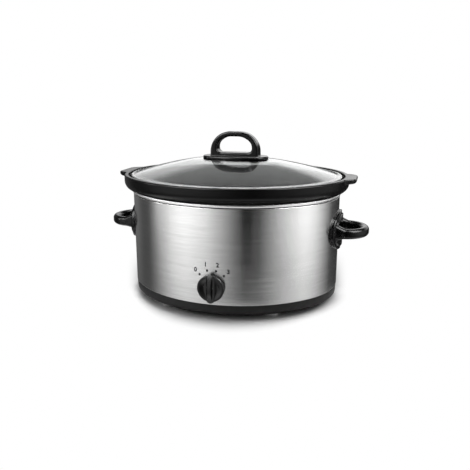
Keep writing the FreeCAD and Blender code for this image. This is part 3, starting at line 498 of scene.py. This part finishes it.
def ground_glass():
    """The lid's ground and polished edge, which shows as a white line."""
    material, nodes = finish("ground_glass")
    grind = nodes.even_noise(300.0, 3.0)
    nodes.surface(nodes.principled({
        "Base Color": nodes.mixed(grind, (0.62, 0.63, 0.63, 1.0), (0.70, 0.71, 0.71, 1.0)),
        "Roughness": nodes.varied(grind, 0.25, 0.40),
        "IOR": 1.46,
        "Normal": nodes.bump(grind, 0.1, 0.0002),
    }))
    return material


def plated_steel():
    material, nodes = finish("plated_steel")
    cloud = nodes.even_noise(160.0, 4.0)
    nodes.surface(nodes.principled({
        "Base Color": nodes.mixed(cloud, (0.50, 0.50, 0.49, 1.0), (0.66, 0.66, 0.64, 1.0)),
        "Metallic": 1.0,
        "Roughness": nodes.varied(cloud, 0.24, 0.42),
        "Normal": nodes.bump(cloud, 0.05, 0.0003),
    }))
    return material


def heater_cloth():
    """Woven glass-fibre tape over the heating wire."""
    material, nodes = finish("heater_cloth")
    warp = nodes.noise((60.0, 60.0, 1400.0), 1.0)
    weft = nodes.noise((1400.0, 1400.0, 60.0), 1.0)
    weave = warp * 0.5 + weft * 0.5
    nodes.surface(nodes.principled({
        "Base Color": nodes.mixed(weave, (0.62, 0.58, 0.50, 1.0), (0.82, 0.79, 0.72, 1.0)),
        "Roughness": nodes.varied(weave, 0.75, 0.95),
        "Normal": nodes.bump(weave, 0.5, 0.0004),
    }))
    return material


def switch_plastic():
    material, nodes = finish("switch_plastic")
    grain = nodes.even_noise(700.0, 3.0)
    nodes.surface(nodes.principled({
        "Base Color": nodes.mixed(grain, (0.70, 0.68, 0.63, 1.0), (0.78, 0.76, 0.71, 1.0)),
        "Roughness": nodes.varied(grain, 0.42, 0.55),
        "Normal": nodes.bump(grain, 0.1, 0.0002),
    }))
    return material


def terminal_brass():
    material, nodes = finish("terminal_brass")
    cloud = nodes.even_noise(300.0, 4.0)
    nodes.surface(nodes.principled({
        "Base Color": nodes.mixed(cloud, (0.72, 0.52, 0.22, 1.0), (0.83, 0.66, 0.34, 1.0)),
        "Metallic": 1.0,
        "Roughness": nodes.varied(cloud, 0.25, 0.42),
    }))
    return material


def lead_sleeve():
    """Braided glass sleeving over the inner leads."""
    material, nodes = finish("lead_sleeve")
    braid = nodes.even_noise(1800.0, 2.0)
    nodes.surface(nodes.principled({
        "Base Color": nodes.mixed(braid, (0.66, 0.64, 0.60, 1.0), (0.86, 0.85, 0.81, 1.0)),
        "Roughness": nodes.varied(braid, 0.6, 0.8),
        "Normal": nodes.bump(braid, 0.4, 0.0003),
    }))
    return material


def dial_ink():
    """Black screen ink, a little worn."""
    material, nodes = finish("dial_ink")
    wear = nodes.even_noise(1600.0, 3.0)
    nodes.surface(nodes.principled({
        "Base Color": nodes.mixed(wear, grey(0.012), grey(0.035)),
        "Roughness": nodes.varied(wear, 0.4, 0.6),
        "Specular IOR Level": 0.2,
    }))
    return material


def oval_arcs():
    """Centre, radius, start angle and sweep of the body's four arcs: right, back, left and front."""
    end_centre = HALF_LENGTH - END_RADIUS
    side_radius = HALF_DEPTH**2 + end_centre**2 - END_RADIUS**2
    side_radius = side_radius / (2 * (HALF_DEPTH - END_RADIUS))
    side_centre = side_radius - HALF_DEPTH
    half_end = math.atan2(side_centre, end_centre)
    side_sweep = math.pi - 2 * half_end
    return [
        (Vector((end_centre, 0)), END_RADIUS, -half_end, 2 * half_end),
        (Vector((0, -side_centre)), side_radius, half_end, side_sweep),
        (Vector((-end_centre, 0)), END_RADIUS, math.pi - half_end, 2 * half_end),
        (Vector((0, side_centre)), side_radius, math.pi + half_end, side_sweep),
    ]


def oval_stations():
    """Points round the oval with their outward directions."""
    stations = []
    for centre, radius, start, sweep in oval_arcs():
        count = math.ceil(radius * sweep / STATION_STEP)
        for index in range(count):
            turn = start + sweep * index / count
            out = Vector((math.cos(turn), math.sin(turn)))
            stations.append((centre + out * radius, out))
    return stations


def rounded_path(corners, round_steps=0):
    """A closed path through corners (offset, z, radius), with its rounds as short steps.

    Each round has round_steps steps, or as many as its turn needs where that is 0.
    """
    points = [Vector(corner[:2]) for corner in corners]
    path = []
    for index, here in enumerate(points):
        radius = corners[index][2] if len(corners[index]) > 2 else 0
        if not radius:
            path.append(here)
            continue
        to_last = (points[index - 1] - here).normalized()
        to_next = (points[(index + 1) % len(points)] - here).normalized()
        half = to_last.angle(to_next) / 2
        middle = here + (to_last + to_next).normalized() * (radius / math.sin(half))
        cut = radius / math.tan(half)
        first = here + to_last * cut - middle
        last = here + to_next * cut - middle
        turn = -first.angle_signed(last)
        steps = round_steps or max(LEAST_ARC_STEPS, math.ceil(abs(math.degrees(turn)) / ARC_STEP))
        across = Vector((-first.y, first.x))
        for step in range(steps + 1):
            angle = turn * step / steps
            path.append(middle + first * math.cos(angle) + across * math.sin(angle))
    return path


def add_object(name, data):
    thing = bpy.data.objects.new(name, data)
    bpy.context.scene.collection.objects.link(thing)
    return thing


def aimed(place, aim):
    """The turn that points a camera or a lamp from place at aim."""
    return (aim - place).to_track_quat("-Z", "Y").to_euler()


def face_outward(mesh):
    shape = bmesh.new()
    shape.from_mesh(mesh)
    bmesh.ops.recalc_face_normals(shape, faces=shape.faces)
    shape.to_mesh(mesh)
    shape.free()


def new_piece(name, vertices, faces, material, body, nodes=()):
    """A smooth-shaded mesh piece that rides on a body, with creases kept at its sharp edges."""
    mesh = bpy.data.meshes.new(name)
    mesh.from_pydata(vertices, [], faces)
    face_outward(mesh)
    mesh.shade_smooth()
    mesh.set_sharp_from_angle(angle=math.radians(CREASE_ANGLE))
    mesh.materials.append(material)
    piece = add_object(name, mesh)
    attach(piece, body)
    if nodes:
        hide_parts(*nodes)
    return piece


def ring_faces(rings, spans, size, sides):
    """Four-sided faces between rings of size points: so many spans from ring to ring, and sides on each."""
    faces = []
    for ring in range(spans):
        here = ring * size
        following = (ring + 1) % rings * size
        for step in range(sides):
            after = (step + 1) % size
            faces.append((here + step, here + after, following + after, following + step))
    return faces


def oval_sweep(profile_at, capped=False):
    """Vertices and faces of a profile carried round the oval.

    The profile is closed. Where capped, it is open, and flat faces close the rings of its two end points.
    """
    stations = oval_stations()
    vertices = []
    for point, out in stations:
        for offset, z in profile_at(point, out):
            place = point + out * offset
            vertices.append((place.x, place.y, z))
    count = len(stations)
    size = len(vertices) // count
    faces = ring_faces(count, count, size, size - 1 if capped else size)
    if capped:
        faces.append([station * size for station in range(count)])
        faces.append([station * size + size - 1 for station in reversed(range(count))])
    return vertices, faces


def steel_wrap(material):
    """The wrap's sheet: its lower edge is hemmed and its upper edge curls in just under the bead."""
    top = liner_high.z - 2 * BEAD_RADIUS - WRAP_GAP
    profile = rounded_path([
        (0, top, WRAP_CURL), (-HEM_DEPTH, top, HEM_ROUND),
        (-HEM_DEPTH, wrap_low.z, HEM_ROUND), (0, wrap_low.z, HEM_ROUND),
    ])
    vertices, faces = oval_sweep(lambda point, out: profile)
    new_piece("steel_wrap", vertices, faces, material, "heating_base", ["outer_wrap"])


def wrap_seam(material):
    """The lap where the sheet's ends meet at the back."""
    centre, radius = oval_arcs()[BACK_ARC][:2]
    begin = math.radians(SEAM_DIRECTION)
    high = wrap_high.z - SEAM_DROP
    profile = rounded_path([
        (0, wrap_low.z), (WRAP_THICKNESS, wrap_low.z, SEAM_ROUND),
        (WRAP_THICKNESS, high, SEAM_ROUND), (0, high),
    ])
    vertices = []
    for step in range(SEAM_STEPS + 1):
        turn = begin + SEAM_WIDTH / radius * step / SEAM_STEPS
        out = Vector((math.cos(turn), math.sin(turn)))
        lift = 0 if step in (0, SEAM_STEPS) else 1
        for offset, z in profile:
            place = centre + out * (radius + offset * lift)
            vertices.append((place.x, place.y, z))
    faces = ring_faces(SEAM_STEPS + 1, SEAM_STEPS, len(profile), len(profile))
    new_piece("wrap_seam", vertices, faces, material, "heating_base")


def liner_pan(material):
    """The heating liner: a drawn pan whose rim rolls over the wrap as a bead."""
    top = liner_high.z
    floor = liner_low.z + LINER_SHEET
    bead_middle = BEAD_PROUD - BEAD_RADIUS
    slope = (LINER_FLOOR_INSET - LINER_TOP_INSET) / (top - floor)
    under = LINER_SHEET - LINER_TOP_INSET - slope * LINER_SHEET
    profile = rounded_path([
        (-CORE_INSET, floor), (-LINER_FLOOR_INSET, floor, LINER_CORNER),
        (-LINER_TOP_INSET, top, LINER_RIM_ROUND), (BEAD_PROUD, top, BEAD_ROUND),
        (BEAD_PROUD, top - 2 * BEAD_RADIUS, BEAD_ROUND),
        (bead_middle - BEAD_RADIUS, top - 2 * BEAD_RADIUS, BEAD_ROOT_ROUND),
        (bead_middle - BEAD_RADIUS, top - LINER_SHEET), (under, top - LINER_SHEET, LINER_SHEET),
        (LINER_SHEET - LINER_FLOOR_INSET, liner_low.z, LINER_CORNER), (-CORE_INSET, liner_low.z),
    ])
    vertices, faces = oval_sweep(lambda point, out: profile, capped=True)
    new_piece("liner_pan", vertices, faces, material, "heating_base", ["heating_liner"])


def lug_outline():
    """Plan of the right lug, from its front root to its back root, with rounded tips."""
    tip = crock_high.x
    return rounded_path([
        (LUG_ROOT, -LUG_ROOT_HALF), (tip, -LUG_TIP_HALF, LUG_TIP_ROUND),
        (tip, LUG_TIP_HALF, LUG_TIP_ROUND), (LUG_ROOT, LUG_ROOT_HALF),
    ])


def cross(first, second):
    return first.x * second.y - first.y * second.x


def lug_reach(outline, point, out):
    """How far from the oval the lip's edge lies along a station's outward direction."""
    reach = LIP_PROUD
    start = Vector((abs(point.x), point.y))
    way = Vector((abs(out.x), out.y))
    for first, second in zip(outline, outline[1:]):
        along = second - first
        spread = cross(way, along)
        if abs(spread) < PARALLEL:
            continue
        gap = first - start
        distance = cross(gap, along) / spread
        share = cross(gap, way) / spread
        if 0 <= share <= 1 and distance > 0:
            reach = max(reach, distance)
    return reach


def crock_profile(reach):
    """The crock's section, with its lip drawn out to reach."""
    top = crock_high.z
    spare = reach - LIP_PROUD
    lug_low = top - LUG_THICKNESS
    under_round = max(LUG_JOG, min(LUG_UNDER_ROUND, spare * LUG_UNDER_SHARE))
    root_round = max(LUG_JOG, min(LUG_EDGE_ROUND, spare * LUG_ROOT_SHARE))
    return rounded_path([
        (-CORE_INSET, CROCK_FLOOR), (-CROCK_FLOOR_INSET, CROCK_FLOOR, CROCK_FLOOR_ROUND),
        (-CROCK_FLARE_INSET, CROCK_FLARE_HEIGHT, CROCK_FLARE_ROUND),
        (SEAT_INNER, SEAT_TOP, LIP_ROUND), (SEAT_OUTER, SEAT_TOP, SEAT_ROUND),
        (SEAT_OUTER, top, SEAT_ROUND), (reach, top, LUG_EDGE_ROUND), (reach, lug_low, under_round),
        (LIP_PROUD - LUG_JOG, lug_low - LUG_JOG, root_round),
        (LIP_PROUD, COLLAR_BOTTOM, COLLAR_ROUND), (-CROCK_NECK_INSET, COLLAR_BOTTOM, SEAT_ROUND),
        (-CROCK_BOTTOM_INSET, crock_low.z, CROCK_BOTTOM_ROUND), (-CORE_INSET, crock_low.z),
    ], CROCK_ROUND_STEPS)


def glazed_crock(material):
    outline = lug_outline()
    vertices, faces = oval_sweep(
        lambda point, out: crock_profile(lug_reach(outline, point, out)), capped=True
    )
    new_piece("glazed_crock", vertices, faces, material, "crock", ["stoneware_crock"])


def lid_pane(material, edge_material):
    """The domed glass, with its rounded edge ground to a white line."""
    rest = glass_low.z
    rim = rest + GLASS
    top = glass_high.z
    profile = rounded_path([
        (-LID_CORE_INSET, top - GLASS), (-DOME_TOP_INSET, top - GLASS, DOME_TOP_ROUND),
        (-DOME_MIDDLE_INSET, rest + DOME_MIDDLE_RISE, DOME_MIDDLE_ROUND),
        (-DOME_START_INSET, rest, DOME_START_ROUND), (GLASS_PROUD, rest, GLASS_EDGE_ROUND),
        (GLASS_PROUD, rim, GLASS_EDGE_ROUND), (-DOME_START_INSET, rim, DOME_START_ROUND),
        (-DOME_MIDDLE_INSET, rim + DOME_MIDDLE_RISE, DOME_MIDDLE_ROUND),
        (-DOME_TOP_INSET, top, DOME_TOP_ROUND), (-LID_CORE_INSET, top),
    ])
    vertices, faces = oval_sweep(lambda point, out: profile, capped=True)
    pane = new_piece("lid_pane", vertices, faces, material, "lid", ["lid_glass"])
    pane.data.materials.append(edge_material)
    edge_points = [offset > GLASS_PROUD - GROUND_EDGE for offset, z in profile]
    for face in pane.data.polygons:
        if all(edge_points[index % len(profile)] for index in face.vertices):
            face.material_index = 1


def on_wrap_front(x, z, lift):
    """A point on the wrap's front face: x is measured round the curve."""
    centre, radius = oval_arcs()[FRONT_ARC][:2]
    turn = -math.pi / 2 + x / radius
    reach = radius + lift
    return (centre.x + reach * math.cos(turn), centre.y + reach * math.sin(turn), z)


def printed_shape(outline_vertices, outline_faces, x, z):
    """A flat shape laid on the wrap as a thin film: its front and back faces."""
    count = len(outline_vertices)
    vertices = []
    for lift in (INK_FRONT, INK_BACK):
        vertices += [on_wrap_front(x + u, z + v, lift) for u, v in outline_vertices]
    faces = [tuple(face) for face in outline_faces]
    faces += [tuple(count + index for index in reversed(face)) for face in outline_faces]
    return vertices, faces


def number_outline(number):
    """Flat mesh of a plain number, centred on the origin."""
    curve = bpy.data.curves.new("number", "FONT")
    curve.body = str(number)
    curve.size = NUMBER_SIZE
    curve.offset = NUMBER_WEIGHT
    curve.align_x = "CENTER"
    curve.align_y = "CENTER"
    holder = bpy.data.objects.new("number", curve)
    mesh = bpy.data.meshes.new_from_object(holder)
    vertices = [(vertex.co.x, vertex.co.y) for vertex in mesh.vertices]
    faces = [list(face.vertices) for face in mesh.polygons]
    bpy.data.objects.remove(holder)
    bpy.data.meshes.remove(mesh)
    return vertices, faces


def dot_outline():
    turns = [2 * math.pi * side / DOT_SIDES for side in range(DOT_SIDES)]
    vertices = [(DOT_RADIUS * math.cos(turn), DOT_RADIUS * math.sin(turn)) for turn in turns]
    return vertices, [list(range(DOT_SIDES))]


def dial_marks(material):
    """A dot and a plain number for each position of the knob."""
    vertices = []
    faces = []
    for number, angle in enumerate(MARK_ANGLES):
        turn = math.radians(angle)
        for outline, reach in ((dot_outline(), DOT_REACH), (number_outline(number), NUMBER_REACH)):
            x = reach * math.sin(turn)
            z = KNOB_HEIGHT + reach * math.cos(turn)
            shape, film = printed_shape(*outline, x, z)
            faces += [tuple(len(vertices) + index for index in face) for face in film]
            vertices += shape
    new_piece("dial_marks", vertices, faces, material, "heating_base")


def dress(names, material):
    """Gives CAD nodes that keep their shape a finish."""
    for name in names:
        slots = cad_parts[name].data.materials
        slots.clear()
        slots.append(material)


def camera():
    view = bpy.data.cameras.new("camera")
    view.lens = CAMERA_LENS
    view.sensor_width = CAMERA_SENSOR
    eye = add_object("camera", view)
    eye.location = CAMERA_PLACE
    eye.rotation_euler = aimed(CAMERA_PLACE, CAMERA_AIM)
    bpy.context.scene.camera = eye


def shown_rays(nodes):
    """1 for rays that see the background itself: from the camera, off metal or through glass."""
    path = nodes.add("ShaderNodeLightPath")
    return path["Is Camera Ray"].larger(path["Is Glossy Ray"]).larger(path["Is Transmission Ray"])


def white_world():
    """White for rays that see the background, and a plain level of light for the rest."""
    world = bpy.data.worlds.new("studio_air")
    world.use_nodes = True
    bpy.context.scene.world = world
    nodes = Nodes(world.node_tree)
    shown = shown_rays(nodes)
    strength = shown + (1 - shown) * AMBIENT
    light = nodes.add("ShaderNodeBackground", {}, {"Color": grey(1.0), "Strength": strength})
    nodes.add("ShaderNodeOutputWorld", {}, {"Surface": light})


def cast_shadow(nodes, x, y):
    """How dark the floor is painted behind the body: a painted soft shadow that widens away from CAST_FROM.
    """
    ahead = -CAST_FROM.normalized()
    away = (x - CAST_FROM.x) * ahead.x + (y - CAST_FROM.y) * ahead.y
    sideways = (x - CAST_FROM.x) * ahead.y - (y - CAST_FROM.y) * ahead.x
    turn = sideways / away - CAST_MIDDLE
    outside = (turn.larger(0 - turn) - CAST_HALF) / CAST_EDGE
    core = (1 - outside.larger(0.0)).larger(0.0)
    begun = nodes.between(away, CAST_START, CAST_FULL)
    lasting = nodes.between(away, CAST_FULL, CAST_END, 1.0, 0.0)
    return core ** 2 * begun * lasting * CAST_DEPTH


def white_floor():
    """A pale floor that keeps the object's shadow, and is white away from it but for the painted shadow
    behind.

    Reflections see it close to the object, and the studio shell beyond that.
    """
    material, nodes = finish("white_floor")
    x, y = nodes.axes()[:2]
    along = (x / HALF_LENGTH) ** 2
    across = (y / HALF_DEPTH) ** 2
    reach = along + across
    # Painted light and shade: the lamps' shadow is blended to white by this mask, sooner at the body's ends
    # and later to the right
    side = SHADOW_SIDE / HALF_LENGTH
    width = (across / reach) ** SHADOW_CORNER * (SHADOW_FRONT / HALF_DEPTH - side) + side
    drift = (x / HALF_LENGTH).larger(0.0) * SHADOW_DRIFT + 1
    beyond = (reach ** 0.5 - 1) / (width * drift)
    start = 0 - (along / reach) ** END_CORNER * END_START - SHADOW_START
    far = nodes.between(beyond, start, 1.0)
    matte = nodes.add("ShaderNodeBsdfDiffuse", {}, {"Color": grey(FLOOR_GREY)})
    # Painted shadow: the white floor is darkened behind the body
    tone = nodes.mixed(cast_shadow(nodes, x, y), grey(1.0), grey(0.0))
    white = nodes.add("ShaderNodeEmission", {}, {"Color": tone, "Strength": 1.0})
    share = far * shown_rays(nodes)
    seen = nodes.add("ShaderNodeMixShader", {}, {0: share, 1: matte, 2: white})
    open_air = nodes.add("ShaderNodeBsdfTransparent")
    off_metal = nodes.add("ShaderNodeLightPath")["Is Glossy Ray"]
    beside = off_metal * nodes.between(beyond, MIRROR_START, MIRROR_END)
    nodes.surface(nodes.add("ShaderNodeMixShader", {}, {0: beside, 1: seen, 2: open_air}))
    half = FLOOR_SIZE / 2
    corners = [(-half, -half, 0), (half, -half, 0), (half, half, 0), (-half, half, 0)]
    mesh = bpy.data.meshes.new("floor")
    mesh.from_pydata(corners, [], [(0, 1, 2, 3)])
    mesh.materials.append(material)
    floor = add_object("floor", mesh)


def round_ramp(nodes, azimuth, stops):
    """A level that follows stops (degrees from the front, level) round the shell."""
    shares = [(degrees / 360 + 0.5, level / SHELL_STRENGTH) for degrees, level in stops]
    return nodes.add("ShaderNodeValToRGB", {"stops": shares}, {"Fac": azimuth})["Color"]


def shell_grey(level):
    return grey(level / SHELL_STRENGTH)


def studio_shell():
    """Soft boxes and dark cards round the stage, which only reflections see."""
    material, nodes = finish("studio_shell")
    x, y, z = nodes.axes()
    turn = nodes.add("ShaderNodeMath", {"operation": "ARCTAN2"}, {0: x, 1: 0 - y})
    azimuth = turn / (2 * math.pi) + 0.5
    rise = z / SHELL_RADIUS
    low = round_ramp(nodes, azimuth, LOW_CARDS)
    high = round_ramp(nodes, azimuth, HIGH_CARDS)
    overhead = round_ramp(nodes, azimuth, OVERHEAD_BOXES)
    level = nodes.mixed(nodes.between(rise, *HIGH_START), low, high)
    level = nodes.mixed(nodes.between(rise, *OVERHEAD_START), level, overhead)
    for start, end, share, shade in SHELL_BANDS:
        level = nodes.mixed(nodes.between(rise, start, end, 0.0, share), level, shell_grey(shade))
    nodes.surface(nodes.add("ShaderNodeEmission", {}, {"Color": level, "Strength": SHELL_STRENGTH}))
    shape = bmesh.new()
    rows = SHELL_SIDES // 2
    bmesh.ops.create_uvsphere(shape, u_segments=SHELL_SIDES, v_segments=rows, radius=SHELL_RADIUS)
    mesh = bpy.data.meshes.new("studio_shell")
    shape.to_mesh(mesh)
    shape.free()
    mesh.materials.append(material)
    shell = add_object("studio_shell", mesh)
    shell.visible_camera = False
    shell.visible_diffuse = False
    shell.visible_transmission = False
    shell.visible_shadow = False


def soft_box(name, place, width, height, power):
    light = bpy.data.lights.new(name, "AREA")
    light.shape = "RECTANGLE"
    light.size = width
    light.size_y = height
    light.energy = power
    lamp = add_object(name, light)
    lamp.location = place
    lamp.rotation_euler = aimed(place, LAMP_AIM)


def studio():
    white_world()
    white_floor()
    studio_shell()
    for lamp in LAMPS:
        soft_box(*lamp)


camera()
studio()

steel = brushed_steel()
plated = plated_steel()
rubber = grey_rubber()
handle_black = gloss_black_plastic("handle_plastic", HANDLE_SHINE, HANDLE_DULL, HANDLE_EASE)
lid_handle_black = gloss_black_plastic("lid_handle_plastic", HANDLE_SHINE, HANDLE_DULL, LID_HANDLE_EASE)
knob_black = gloss_black_plastic("knob_plastic", KNOB_SHINE, KNOB_DULL, KNOB_EASE)

steel_wrap(steel)
wrap_seam(steel)
liner_pan(satin_aluminium())
glazed_crock(black_glaze())
lid_pane(clear_glass(), ground_glass())
dial_marks(dial_ink())

dress(["left_handle", "right_handle"], handle_black)
dress(["lid_handle"], lid_handle_black)
dress(["control_knob"], knob_black)
dress(["base_tray", "cord_gland"], satin_black_plastic())
dress(["front_left_foot", "front_right_foot", "back_left_foot", "back_right_foot"], rubber)
dress(["lid_washers"], rubber)
dress(["base_screws", "liner_posts", "heat_shield", "heater_strap", "strap_bolt", "strap_nut"], plated)
dress(["thermal_cutoff", "cutoff_clip", "handle_screws", "handle_washers", "lid_screws"], plated)
dress(["knob_clip", "switch_spindle", "switch_nut", "switch_plate"], plated)
dress(["heater_band"], heater_cloth())
dress(["switch_body", "lead_connectors"], switch_plastic())
dress(["switch_terminals"], terminal_brass())
dress(["cutoff_lead", "switch_lead", "neutral_lead", "low_heat_lead", "high_heat_lead"], lead_sleeve())

bpy.context.scene.view_settings.view_transform = "Standard"
